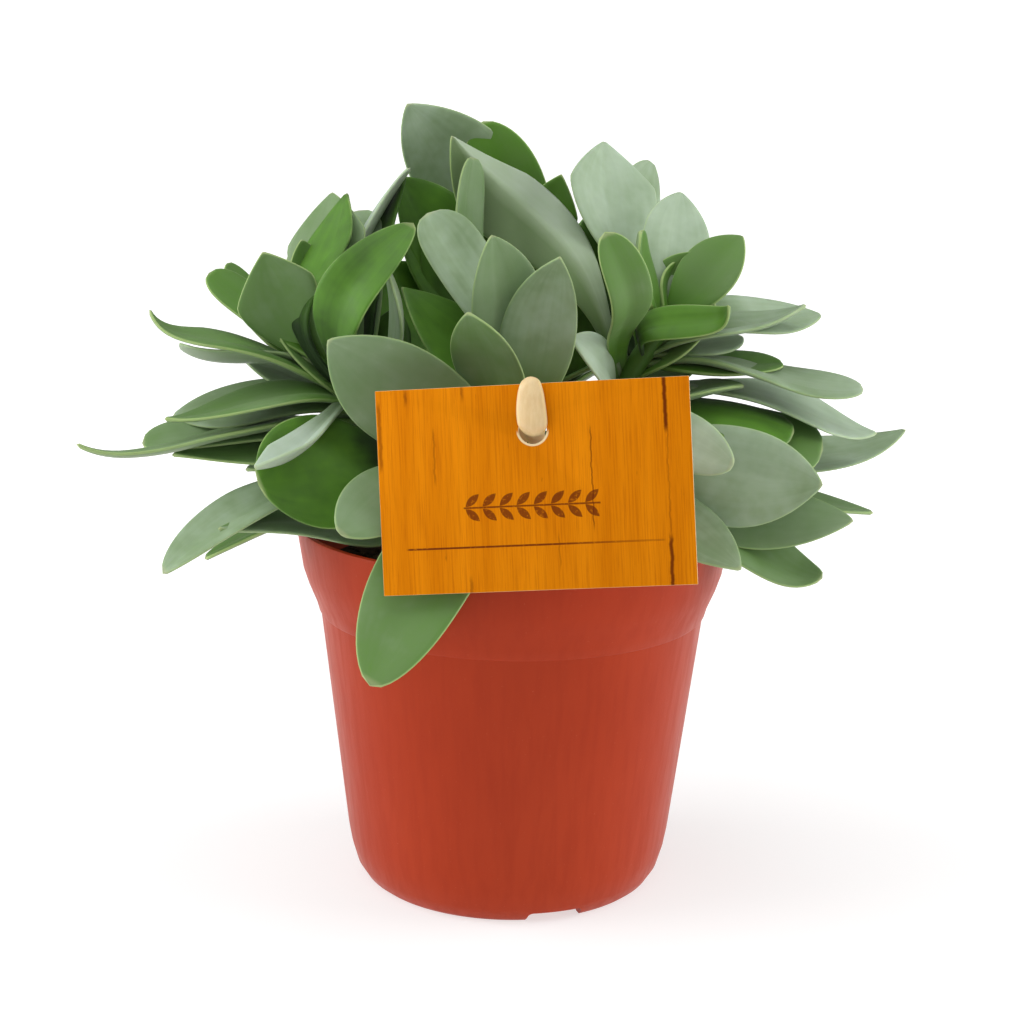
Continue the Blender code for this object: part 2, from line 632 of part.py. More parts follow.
def makeBand(collection):
    material = newMaterial("cream_band", (0.75, 0.62, 0.42), 0.5)
    route = bandRoute()
    ringRadius = 0.25
    bpy.ops.mesh.primitive_torus_add(major_segments=BAND_STEPS, minor_segments=BAND_SIDES,
                                     major_radius=1, minor_radius=ringRadius)
    band = moveTo(collection, bpy.context.object, "band")
    band.data.materials.append(material)
    for vertex in band.data.vertices:
        around = math.atan2(vertex.co.y, vertex.co.x)
        side = (math.hypot(vertex.co.x, vertex.co.y) - 1) / ringRadius
        rise = vertex.co.z / ringRadius
        share = (around / math.tau) % 1.0
        middle, way, width = alongRoute(route, share)
        ahead = alongRoute(route, (share + BAND_LOOK_AHEAD) % 1.0)[0] - middle
        flat = way.cross(ahead).normalized()
        across = ahead.cross(flat).normalized()
        vertex.co = (middle + across * (side * width / 2) + flat * (rise * BAND_THICKNESS / 2)) * MM
    bm = bmesh.new()
    bm.from_mesh(band.data)
    bmesh.ops.recalc_face_normals(bm, faces=bm.faces)
    bm.to_mesh(band.data)
    bm.free()
    return band


def main():
    clearScene()
    plant = newCollection("potted_senecio")
    cutters = newCollection("cutters", hidden=True)
    makePot(plant, cutters)
    makeSoil(plant, cutters)
    green = newMaterial("senecio_leaf", (0.13, 0.24, 0.13), 0.5)
    for name in STEMS:
        makeLeafyStem(name, plant, green)
    makeCard(plant, cutters)
    makeBand(plant)
    for item in list(cutters.objects):
        bpy.data.objects.remove(item)
    print("potted senecio built")


main()
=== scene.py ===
import math
import random

import bpy
import bmesh
from mathutils import Matrix, Vector, noise


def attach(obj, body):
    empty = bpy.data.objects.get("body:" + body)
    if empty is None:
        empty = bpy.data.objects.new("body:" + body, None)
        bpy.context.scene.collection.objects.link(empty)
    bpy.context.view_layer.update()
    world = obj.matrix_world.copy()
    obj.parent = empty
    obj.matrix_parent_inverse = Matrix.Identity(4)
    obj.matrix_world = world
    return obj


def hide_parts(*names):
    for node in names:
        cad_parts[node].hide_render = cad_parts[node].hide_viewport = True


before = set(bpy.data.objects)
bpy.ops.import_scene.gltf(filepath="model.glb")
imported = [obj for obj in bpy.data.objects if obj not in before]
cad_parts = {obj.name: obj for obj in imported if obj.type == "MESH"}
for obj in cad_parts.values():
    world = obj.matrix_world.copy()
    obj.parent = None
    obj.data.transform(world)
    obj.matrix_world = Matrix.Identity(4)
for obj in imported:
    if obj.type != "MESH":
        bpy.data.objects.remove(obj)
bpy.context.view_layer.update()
mm = 0.001
print("frame loaded")

# Camera and light

camera = {
    "place": (0.0, -0.600, 0.2438),
    "lookDown": 0.22822,
    "roll": 0.01874,
    "lens": 78.0,
    "sideShift": -0.0016,
}

lights = [
    {"name": "skyBox", "place": (-0.10, -0.15, 0.95), "size": 0.9, "power": 5.0},
    {"name": "leftBox", "place": (-0.85, -0.10, 0.40), "size": 0.7, "power": 5.7},
    {"name": "rightBox", "place": (0.85, 0.00, 0.35), "size": 0.7, "power": 5.5},
    {"name": "frontBox", "place": (-0.15, -1.10, 0.55), "size": 0.6, "power": 1.1},
]


def addCamera():
    data = bpy.data.cameras.new("photoCamera")
    data.sensor_width = 36
    data.lens = camera["lens"]
    data.shift_x = camera["sideShift"]
    data.clip_start = 0.01
    item = bpy.data.objects.new("photoCamera", data)
    bpy.context.scene.collection.objects.link(item)
    turn = Matrix.Rotation(math.pi / 2 - camera["lookDown"], 4, "X")
    turn = turn @ Matrix.Rotation(camera["roll"], 4, "Z")
    item.matrix_world = Matrix.Translation(camera["place"]) @ turn
    bpy.context.scene.camera = item


def addLights():
    aim = Vector((0, 0, 0.11))
    for light in lights:
        data = bpy.data.lights.new(light["name"], "AREA")
        data.size = light["size"]
        data.energy = light["power"]
        item = bpy.data.objects.new(light["name"], data)
        item.location = light["place"]
        item.rotation_euler = (aim - item.location).to_track_quat("-Z", "Y").to_euler()
        bpy.context.scene.collection.objects.link(item)
    world = bpy.data.worlds.new("studio")
    world.use_nodes = True
    world.node_tree.nodes["Background"].inputs["Color"].default_value = (1.0, 1.0, 1.0, 1)
    world.node_tree.nodes["Background"].inputs["Strength"].default_value = 0.26
    bpy.context.scene.world = world
    bpy.context.scene.view_settings.view_transform = "Standard"


stage = {
    "floorRadius": 1.0,
    "wallRadius": 2.6,
    "wallTop": 2.4,
    "bend": 0.8,
    "steps": 96,
    "nearGlow": 0.62,
    "farGlow": 1.0,
}


def stagePaint(name, near, far):
    # The floor glows more with the distance from the pot, so it stays near white all round
    material = newMaterial(name)
    tree = material.node_tree
    reach = tree.nodes.new("ShaderNodeVectorMath")
    reach.operation = "LENGTH"
    put(tree, reach.inputs[0], objectPlace(tree, (1, 1, 0)))
    glow = fade(tree, reach.outputs["Value"], 0.12, 0.7, near, far)
    body = shader(material)
    body.inputs["Base Color"].default_value = (0.45, 0.45, 0.45, 1)
    body.inputs["Roughness"].default_value = 0.9
    body.inputs["Specular IOR Level"].default_value = 0.0
    body.inputs["Emission Color"].default_value = (1, 1, 1, 1)
    put(tree, body.inputs["Emission Strength"], glow)
    return material


def addStage():
    bm = bmesh.new()
    spun(bm, [(0.0, 0.0), (stage["floorRadius"] / mm, 0.0)], stage["steps"])
    floor = finish(bm, "studioFloor", stagePaint("paleFloor", stage["nearGlow"], stage["farGlow"]))
    bend = stage["bend"]
    profile = [(stage["floorRadius"] - 0.002, -0.0005)]
    for step in range(13):
        angle = math.pi / 2 * step / 12
        profile.append((stage["wallRadius"] - bend * (1 - math.sin(angle)), bend * (1 - math.cos(angle))))
    profile.append((stage["wallRadius"], stage["wallTop"]))
    bm = bmesh.new()
    spun(bm, [(radius / mm, height / mm) for radius, height in profile], stage["steps"])
    wall = finish(bm, "studioWall", stagePaint("paleWall", stage["farGlow"], stage["farGlow"]))
    wall.visible_diffuse = False
    wall.visible_glossy = False
    wall.visible_shadow = False


# Node helpers


def newMaterial(name):
    material = bpy.data.materials.new(name)
    material.use_nodes = True
    return material


def shader(material):
    return material.node_tree.nodes["Principled BSDF"]


def put(tree, socket, value):
    if isinstance(value, bpy.types.NodeSocket):
        tree.links.new(value, socket)
    else:
        socket.default_value = value


def calc(tree, operation, first, second=0.0, clamp=False):
    node = tree.nodes.new("ShaderNodeMath")
    node.operation = operation
    node.use_clamp = clamp
    put(tree, node.inputs[0], first)
    put(tree, node.inputs[1], second)
    return node.outputs[0]


def fade(tree, value, start, end, low=0.0, high=1.0):
    node = tree.nodes.new("ShaderNodeMapRange")
    node.interpolation_type = "SMOOTHSTEP"
    put(tree, node.inputs["Value"], value)
    node.inputs["From Min"].default_value = start
    node.inputs["From Max"].default_value = end
    node.inputs["To Min"].default_value = low
    node.inputs["To Max"].default_value = high
    return node.outputs["Result"]


def mix(tree, amount, first, second, kind="MIX"):
    node = tree.nodes.new("ShaderNodeMix")
    node.data_type = "RGBA"
    node.blend_type = kind
    put(tree, node.inputs[0], amount)
    for socket, value in ((node.inputs[6], first), (node.inputs[7], second)):
        put(tree, socket, (*value, 1.0) if isinstance(value, tuple) else value)
    return node.outputs[2]


def ramp(tree, value, stops):
    node = tree.nodes.new("ShaderNodeValToRGB")
    put(tree, node.inputs[0], value)
    stops = list(stops)
    while len(node.color_ramp.elements) < len(stops):
        node.color_ramp.elements.new(0.5)
    for element, (place, colour) in zip(node.color_ramp.elements, stops):
        element.position = place
        element.color = (*colour, 1.0)
    return node.outputs[0]


def objectPlace(tree, stretch=(1, 1, 1)):
    place = tree.nodes.new("ShaderNodeTexCoord").outputs["Object"]
    return mapped(tree, place, stretch)


def mapped(tree, place, stretch):
    node = tree.nodes.new("ShaderNodeMapping")
    node.inputs["Scale"].default_value = stretch
    put(tree, node.inputs["Vector"], place)
    return node.outputs[0]


def grain(tree, place, scale, detail=3.0, roughness=0.5):
    node = tree.nodes.new("ShaderNodeTexNoise")
    node.inputs["Scale"].default_value = scale
    node.inputs["Detail"].default_value = detail
    node.inputs["Roughness"].default_value = roughness
    put(tree, node.inputs["Vector"], place)
    return node.outputs["Fac"]


def attribute(tree, name):
    node = tree.nodes.new("ShaderNodeAttribute")
    node.attribute_name = name
    return node


def bump(tree, height, distance, strength=1.0):
    node = tree.nodes.new("ShaderNodeBump")
    node.inputs["Strength"].default_value = strength
    node.inputs["Distance"].default_value = distance
    put(tree, node.inputs["Height"], height)
    return node.outputs[0]


# Mesh helpers


def finish(bm, name, material=None, smooth=True):
    mesh = bpy.data.meshes.new(name)
    bm.to_mesh(mesh)
    bm.free()
    if smooth:
        mesh.shade_smooth()
    if material:
        mesh.materials.append(material)
    item = bpy.data.objects.new(name, mesh)
    bpy.context.scene.collection.objects.link(item)
    return item


def stand(item, slot, *nodes):
    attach(item, "root")
    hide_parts(*nodes)


# Leafy stems

leafForm = {
    "sides": 24,
    "rings": 32,
    "thickness": 2.4,
    "thinning": 0.45,
    "stalkWidth": 5.0,
    "crowding": 1.3,
    "front": (0, -600, 240),
    "wave": 0.55,
    "waveLength": 17.0,
    "groove": 0.35,
    "grooveWidth": 1.3,
    "edgePlumpness": 0.75,
    "hookPeak": 0.0567,
}

stemForm = {"bottom": 70.0, "straight": 94.0, "radius": 5.0, "tipRadius": 3.2, "sides": 20, "rings": 40}

stems = {
    "leafy_stem_left": {"foot": (-17, -10), "heart": (-45, -20, 141), "aim": (-60, -30, 230)},
    "leafy_stem_centre": {"foot": (1, -14), "heart": (5, -24, 136), "aim": (-4, -20, 230)},
    "leafy_stem_right": {"foot": (17, -2), "heart": (39, -8, 158), "aim": (70, -20, 230)},
    "leafy_stem_back": {"foot": (-2, 16), "heart": (6, 28, 152), "aim": (0, 30, 240)},
}


# Where a leaf is widest, how square its shoulders are, how sharp its tip is, and how narrow it is below
blunt = (0.64, 2.4, 0.55, 1.3)
pointed = (0.60, 2.2, 0.85, 1.3)
square = (0.72, 4.0, 0.50, 1.3)
slender = (0.50, 1.9, 1.00, 1.3)
kite = (0.74, 1.2, 0.90, 2.1)
spoon = (0.72, 2.2, 0.60, 2.2)


def leaf(root, tip, width, turn, tone, bow=0, curl=0, sway=0, fold=10, twist=0, hook=0,
         form=pointed):
    # tone: 0 is vivid green, 0.4 middle green, 0.7 grey-green and 1 pale with bloom; below 0 it darkens towards the
    # shade green, which is painted shade
    return {"root": root, "tip": tip, "width": width, "turn": turn, "tone": tone, "bow": bow,
            "curl": curl, "sway": sway, "fold": fold, "twist": twist, "hook": hook, "form": form}


# Negative tones paint shade: they darken leaves that sit in the dark gaps of the rosette
leaves = {
    "leafy_stem_left": [
        leaf(1.00, (-65.5, -32, 179), 23, -15, 0.45, bow=-5, sway=-4, fold=11, form=kite),
        leaf(0.95, (-27, -31, 187), 17, 34, -0.10, bow=15, curl=-2, sway=2, fold=17, twist=-15, form=blunt),
        leaf(1.00, (-46, -4.5, 192), 19, 52, -0.10, bow=11.5, curl=4.5, fold=14, twist=-10, form=kite),
        leaf(0.97, (-50.5, 2.5, 191.5), 24, 26, 0.62, bow=6, form=kite),
        leaf(0.96, (-59, 6.5, 181.5), 16, 28, 0.75, bow=3, sway=-6, form=slender),
        leaf(0.95, (-82, -13, 171), 13, 45, 0.10, bow=3, curl=1.5, fold=5, form=square),
        leaf(0.93, (-79, 1, 172), 12, 46, 0.20, bow=1, sway=-5, form=spoon),
        leaf(0.94, (-95.5, -28, 163), 18, 78, 0.32, bow=1.5, fold=7, twist=-5, hook=4, form=kite),
        leaf(0.92, (-90, -14, 151.5), 20, 90, 0.80, bow=3, curl=2, sway=1.5, fold=11, hook=1.5, form=square),
        leaf(0.865, (-73.5, -4.5, 146), 18, 57, 0.70, form=slender),
        leaf(0.88, (-91, -34.5, 135.5), 20, 73, 0.40, bow=4, curl=1.5, fold=11, twist=8, hook=1, form=slender),
        leaf(0.83, (-92, -14, 132.5), 19, 50, 0.70, bow=5, curl=1.5, twist=-12),
        leaf(0.76, (-99, -22.5, 126.5), 15, 57, 0.50, bow=2, form=square),
        leaf(0.81, (-113, -40, 129.5), 15, 85, 0.50, bow=-2, curl=1.5, sway=2, fold=9, hook=2.5, form=slender),
        leaf(0.70, (-90, -30, 125), 20, 55, 0.40, bow=-1, curl=-1, form=slender),
        leaf(0.98, (-65, -58, 128), 12, 52, 1.10, curl=1, sway=-3, fold=36, twist=26, form=kite),
        leaf(0.62, (-65, -50, 122), 32, 18, -0.10, bow=3.5, sway=-1.5, fold=5, form=blunt),
        leaf(0.50, (-90, -48, 97.5), 18, 56, 0.75, bow=7, sway=1.5, fold=20, form=spoon),
        leaf(0.44, (-82, -28, 96.5), 14, 77, 0.20, bow=5.5, curl=1, sway=-1, form=blunt),
        leaf(0.36, (-76, -45, 109), 23, 64, 0.50, bow=-5, curl=-4, fold=4, hook=1, form=slender),
        leaf(0.56, (-43, -65, 113), 18, 10, 0.60, bow=7, sway=-2, fold=6, form=spoon),
        leaf(0.93, (-29.5, 2, 198.5), 14, 84, 1.10, bow=10, curl=2, sway=1, fold=13, form=spoon),
        leaf(0.89, (-43.5, 5.5, 186.5), 16, 18, 0.70, bow=4, form=square),
        leaf(0.90, (-31, 6.5, 196), 15, 60, -0.25, bow=5),
        leaf(0.85, (-32.5, -8, 162), 15, 30, -0.30),
        leaf(0.75, (-33.5, -35.5, 176), 12, 77, 0.75, bow=-1, curl=1.5, sway=-1, fold=12, form=spoon),
    ],
    "leafy_stem_centre": [
        leaf(0.74, (-47.5, -48, 159), 28, -20, 0.62, bow=1.5, curl=1, sway=-2.5, fold=5),
        leaf(0.90, (-12.5, -47, 166.5), 19, -34, 0.50, curl=1, sway=-1.5, twist=-5),
        leaf(0.93, (10.5, -43.5, 180.5), 20, 3, 0.75, bow=-3.5, curl=3, sway=2.5, form=slender),
        leaf(0.93, (-24, -20, 188.5), 20, 38, 0.75, curl=1.5, sway=4, fold=10, form=square),
        leaf(0.95, (-7, -33, 184.5), 22, 28, 0.65, bow=-3, curl=-1.5),
        leaf(0.84, (-31, -12, 168), 25, 41, -0.10, bow=3, fold=8, form=slender),
        leaf(0.97, (-13, -2, 202), 14, 60, 0.55, bow=-4, sway=-5, fold=15, form=square),
        leaf(0.05, (-35, -72, 76), 26, 26, 0.36, bow=23, curl=3, sway=4, fold=5, form=blunt),
    ],
    "leafy_stem_right": [
        leaf(0.99, (23, 25, 205), 32, 47, 0.92, bow=1.5, sway=-6, fold=15, form=kite),
        leaf(0.95, (37, 34, 199), 18, 54, 0.85, bow=-2, sway=-4, fold=4, form=spoon),
        leaf(0.98, (44, 12, 192.5), 20, 20, 0.92, bow=1.5, fold=8),
        leaf(1.00, (60, -5, 182.5), 18, 28, 0.30, twist=10),
        leaf(0.74, (22, -30, 185.5), 13, 28, 0.32, bow=5, curl=-5, fold=15, form=square),
        leaf(0.96, (32, -15, 184.5), 12, 74, 0.18, bow=-2, curl=1, sway=1, fold=15, form=blunt),
        leaf(0.95, (43.5, 0, 175), 9, 56, 0.10, curl=1.5, fold=12, form=blunt),
        leaf(0.89, (55, -25, 166.5), 10, 32, 0.05, curl=6.5, sway=2, fold=15, twist=10, form=slender),
        leaf(0.86, (78, -3, 164), 19, 68, 0.82, curl=2, fold=17, twist=15, form=slender),
        leaf(0.92, (84, 10, 159.5), 22, 57, 0.85, bow=2, curl=1.5, sway=1, twist=5),
        leaf(0.88, (62.5, 8, 153), 18, 61, 0.85),
        leaf(0.84, (73, 1.5, 147), 17, 68, 0.20, sway=-1, form=blunt),
        leaf(0.82, (94.5, -4.5, 141.5), 21, 78, 0.78, bow=2, curl=2, fold=6, twist=-32, form=blunt),
        leaf(0.73, (100.5, 5.5, 127.5), 26, 71, 1.00, bow=6, sway=-1, fold=7, twist=-15, hook=2.5, form=kite),
        leaf(0.72, (112, 25, 125), 25, 68, 0.78, bow=-9.5, sway=-4, fold=7, twist=11, hook=1),
        leaf(0.65, (83.5, -10.5, 126), 25, 50, 0.30, bow=3, sway=-2, fold=-4, form=square),
        leaf(0.69, (75, -14, 131), 21, 62, -0.05, bow=4, sway=-2, fold=-8, form=square),
        leaf(0.58, (55, -54, 130), 15, 6, 0.90, bow=3.5, sway=2, fold=5, twist=-5, form=blunt),
        leaf(0.51, (80, -38, 122), 27, 0, 0.85, bow=-1, curl=1, sway=-3, fold=4, twist=-6),
        leaf(0.46, (90.5, -25, 109.5), 24, 38, 0.62, bow=1, curl=1, sway=-7.5, fold=8),
        leaf(0.43, (99.5, -2, 106.5), 20, 74, 0.50, bow=1, curl=1, sway=-1),
        leaf(0.34, (58.5, -50, 102), 20, 38, 0.75, bow=5, sway=-2, fold=8),
        leaf(0.27, (82.5, -28.5, 94.5), 22, 54, 0.45, bow=10, sway=-4, fold=9, hook=4, form=blunt),
        leaf(0.63, (14, -23, 157), 16, 66, 1.00, bow=4),
        leaf(0.74, (-18.5, -3, 207.5), 28, 189, 0.70, bow=1, curl=-8, sway=7.5, fold=35, twist=36, form=kite),
        leaf(0.85, (18.5, 15, 185), 18, 30, -0.25),
    ],
    "leafy_stem_back": [
        leaf(0.95, (-31, 11, 215), 29, 0, 0.80, bow=-6, curl=3, sway=6, fold=4, twist=18),
        leaf(0.97, (-10.5, 24, 210), 22, 9, 0.10, bow=1, sway=2, fold=8, form=blunt),
        leaf(0.99, (11.5, 22, 196), 18, 12, 0.10, curl=1.5, sway=3, fold=7, form=kite),
        leaf(0.85, (-33.5, 14, 195), 25, 25, -0.15),
        leaf(0.62, (-41.5, 5, 171), 30, 35, -0.15),
        leaf(0.72, (-24, 12, 184), 26, 10, -0.20),
        leaf(0.78, (-32.5, 10, 180), 18, 30, -0.20),
        leaf(0.62, (24, 20, 164), 20, 0, -0.20),
    ],
}

# Leaves that the front does not show: sector in degrees from +X, and lengths from lowest to highest
hidden = {
    "leafy_stem_left": {"sector": (110, 205), "count": 6, "lengths": (56, 42), "seed": 4},
    "leafy_stem_right": {"sector": (-20, 70), "count": 7, "lengths": (56, 22), "seed": 9},
    "leafy_stem_back": {"sector": (0, 180), "count": 20, "lengths": (63, 46), "seed": 12},
}

# Leaves with painted light on one half and painted shade on the other: how much tone their first half gains and
# their second half loses
paintedHalfShade = {
    "leafy_stem_right": {24: 0.35},
    "leafy_stem_left": {19: 0.25},
}

hiddenForm = {
    "widths": (22, 17),
    "roots": (0.30, 0.97),
    "rise": (-4, 62),
    "bow": (5, -4),
    "fold": 12,
    "tones": (0.65, 0.25),
    "goldenAngle": 137.5,
}


def between(pair, share):
    return pair[0] + (pair[1] - pair[0]) * share


def stemPoint(stem, share):
    foot = Vector((*stem["foot"], stemForm["straight"]))
    heart = Vector(stem["heart"])
    bend = foot + Vector((0, 0, 0.5 * (heart.z - foot.z)))
    return foot * (1 - share) ** 2 + bend * 2 * share * (1 - share) + heart * share ** 2


def hiddenLeaves(name):
    if name not in hidden:
        return []
    rule = hidden[name]
    draw = random.Random(rule["seed"])
    start, end = (math.radians(angle) for angle in rule["sector"])
    turns = []
    angle = 0.0
    while len(turns) < rule["count"]:
        angle += math.radians(hiddenForm["goldenAngle"])
        if (angle - start) % math.tau < end - start:
            turns.append(angle)
    found = []
    for index, turn in enumerate(turns):
        share = index / (rule["count"] - 1)
        root = between(hiddenForm["roots"], share)
        rise = math.radians(between(hiddenForm["rise"], share) + draw.uniform(-5, 5))
        length = between(rule["lengths"], share) + draw.uniform(-3, 3)
        way = Vector((math.cos(turn) * math.cos(rise), math.sin(turn) * math.cos(rise), math.sin(rise)))
        tip = stemPoint(stems[name], root) + way * length
        facing = draw.uniform(-12, 12)
        tone = between(hiddenForm["tones"], share)
        found.append(leaf(root, tip, between(hiddenForm["widths"], share), facing, tone,
                          bow=between(hiddenForm["bow"], share), fold=hiddenForm["fold"]))
    return found


def halfWidth(share, width, form):
    widest, shoulders, point, narrow = form
    if share < widest:
        blade = math.sin(math.pi / 2 * share / widest) ** narrow
    else:
        past = (share - widest) / (1 - widest)
        blade = (1 - min(1, past ** shoulders)) ** point
    stalk = leafForm["stalkWidth"] * (1 - share)
    return 0.5 * math.hypot(width * blade, stalk)


def leafPoint(root, tip, aim, seen, item, share, side, rise, seed):
    # share runs from root to tip, side from -1 to 1 across, and rise from -1 to 1 through the blade
    chord = tip - root
    along = chord.normalized()
    middle = (root + tip) / 2
    squarely = seen - middle
    squarely = (squarely - squarely.dot(along) * along).normalized()
    sideways = along.cross(squarely)
    if sideways.dot(aim - middle) < 0:
        sideways = -sideways
    turn = math.radians(item["turn"] + item["twist"] * (share - 0.5))
    upper = squarely * math.cos(turn) + sideways * math.sin(turn)
    across = upper.cross(along)
    arch = 4 * share * (1 - share)
    place = root + chord * share + sideways * (item["sway"] * arch)
    place += upper * (item["bow"] * arch + item["curl"] * math.sin(math.tau * share))
    place -= upper * (item["hook"] * share ** 6 * (1 - share) / leafForm["hookPeak"])
    fold = math.radians(item["fold"])
    reach = side * halfWidth(share, item["width"], item["form"])
    thick = 0.5 * leafForm["thickness"] * (1 - leafForm["thinning"] * share ** 3)
    spot = Vector((reach, share * chord.length, 31.7 * seed)) / leafForm["waveLength"]
    wave = leafForm["wave"] * noise.noise(spot) * math.sin(math.pi * share)
    groove = leafForm["groove"] * math.exp(-(reach / leafForm["grooveWidth"]) ** 2) * (1 - share) * arch
    if rise < 0:
        groove *= -1.5
    lift = abs(reach) * math.sin(fold) + rise * thick + wave - groove * abs(rise)
    return place + across * (reach * math.cos(fold)) + upper * lift


def growLeaf(bm, layers, root, aim, seen, item, seed, halfLight=0.0):
    made = bmesh.ops.create_uvsphere(bm, u_segments=leafForm["sides"], v_segments=leafForm["rings"], radius=1)
    tip = Vector(item["tip"])
    for vertex in made["verts"]:
        share = math.acos(max(-1, min(1, -vertex.co.z))) / math.pi
        share = 1 - (1 - share) ** leafForm["crowding"]
        angle = math.atan2(vertex.co.y, vertex.co.x)
        onPole = min(share, 1 - share) < 1e-4
        side = 0 if onPole else math.cos(angle)
        rise = 0 if onPole else math.copysign(abs(math.sin(angle)) ** leafForm["edgePlumpness"], math.sin(angle))
        vertex.co = leafPoint(root, tip, aim, seen, item, share, side, rise, seed) * mm
        vertex[layers["share"]] = share
        vertex[layers["side"]] = side
        vertex[layers["rim"]] = (1 - abs(side)) * halfWidth(share, item["width"], item["form"])
        vertex[layers["face"]] = 0.5 + 0.5 * rise
        # Painted light and shade: on these leaves one half of the blade is lighter and the other darker
        vertex[layers["tone"]] = item["tone"] + halfLight * max(-1.0, min(1.0, side * 8))
        vertex[layers["sort"]] = seed % 17 / 17
        vertex[layers["along"]] = share * (tip - root).length


def growStem(bm, layers, stem):
    made = bmesh.ops.create_uvsphere(bm, u_segments=stemForm["sides"], v_segments=stemForm["rings"], radius=1)
    buried = stemForm["straight"] - stemForm["bottom"]
    for vertex in made["verts"]:
        share = math.acos(max(-1, min(1, -vertex.co.z))) / math.pi
        angle = math.atan2(vertex.co.y, vertex.co.x)
        onPole = min(share, 1 - share) < 1e-4
        above = max(0.0, (share - 0.2) / 0.8)
        middle = stemPoint(stem, above)
        if share < 0.2:
            middle.z -= buried * (1 - share / 0.2)
        radius = 0 if onPole else between((stemForm["radius"], stemForm["tipRadius"]), above)
        scar = noise.noise(Vector((math.cos(angle) * 2, math.sin(angle) * 2, above * 24)))
        radius *= 1 + 0.08 * scar
        vertex.co = (middle + Vector((math.cos(angle), math.sin(angle), 0)) * radius) * mm
        vertex[layers["share"]] = 0.0
        vertex[layers["rim"]] = 3.0
        vertex[layers["face"]] = 0.5
        vertex[layers["tone"]] = 0.5
        vertex[layers["sort"]] = 0.5


def growStemWithLeaves(name, material, seed):
    stem = stems[name]
    bm = bmesh.new()
    names = ("share", "side", "rim", "face", "tone", "sort", "along")
    layers = {key: bm.verts.layers.float.new(key) for key in names}
    growStem(bm, layers, stem)
    aim = Vector(stem["aim"])
    front = Vector(leafForm["front"])
    paintedSplits = paintedHalfShade.get(name, {})
    for index, item in enumerate(leaves[name]):
        seed += 1
        growLeaf(bm, layers, stemPoint(stem, item["root"]), aim, front, item, seed, paintedSplits.get(index, 0.0))
    for item in hiddenLeaves(name):
        seed += 1
        growLeaf(bm, layers, stemPoint(stem, item["root"]), aim, aim, item, seed)
    bmesh.ops.recalc_face_normals(bm, faces=bm.faces)
    plant = finish(bm, name + "_fine", material)
    stand(plant, "senecio_leaf", name)
    print(name, len(plant.data.polygons), "faces")
    return seed


leafColours = {
    # shade is painted shade: the dark green of leaves and leaf bases deep in the rosette
    "shade": (0.012, 0.034, 0.005),
    "vivid": (0.090, 0.230, 0.018),
    "middle": (0.125, 0.230, 0.066),
    "grey": (0.215, 0.310, 0.165),
    "pale": (0.400, 0.510, 0.370),
    "bloom": (0.520, 0.620, 0.520),
    "edge": (0.430, 0.560, 0.220),
    "under": (0.270, 0.340, 0.205),
    "tip": (0.420, 0.420, 0.230),
}


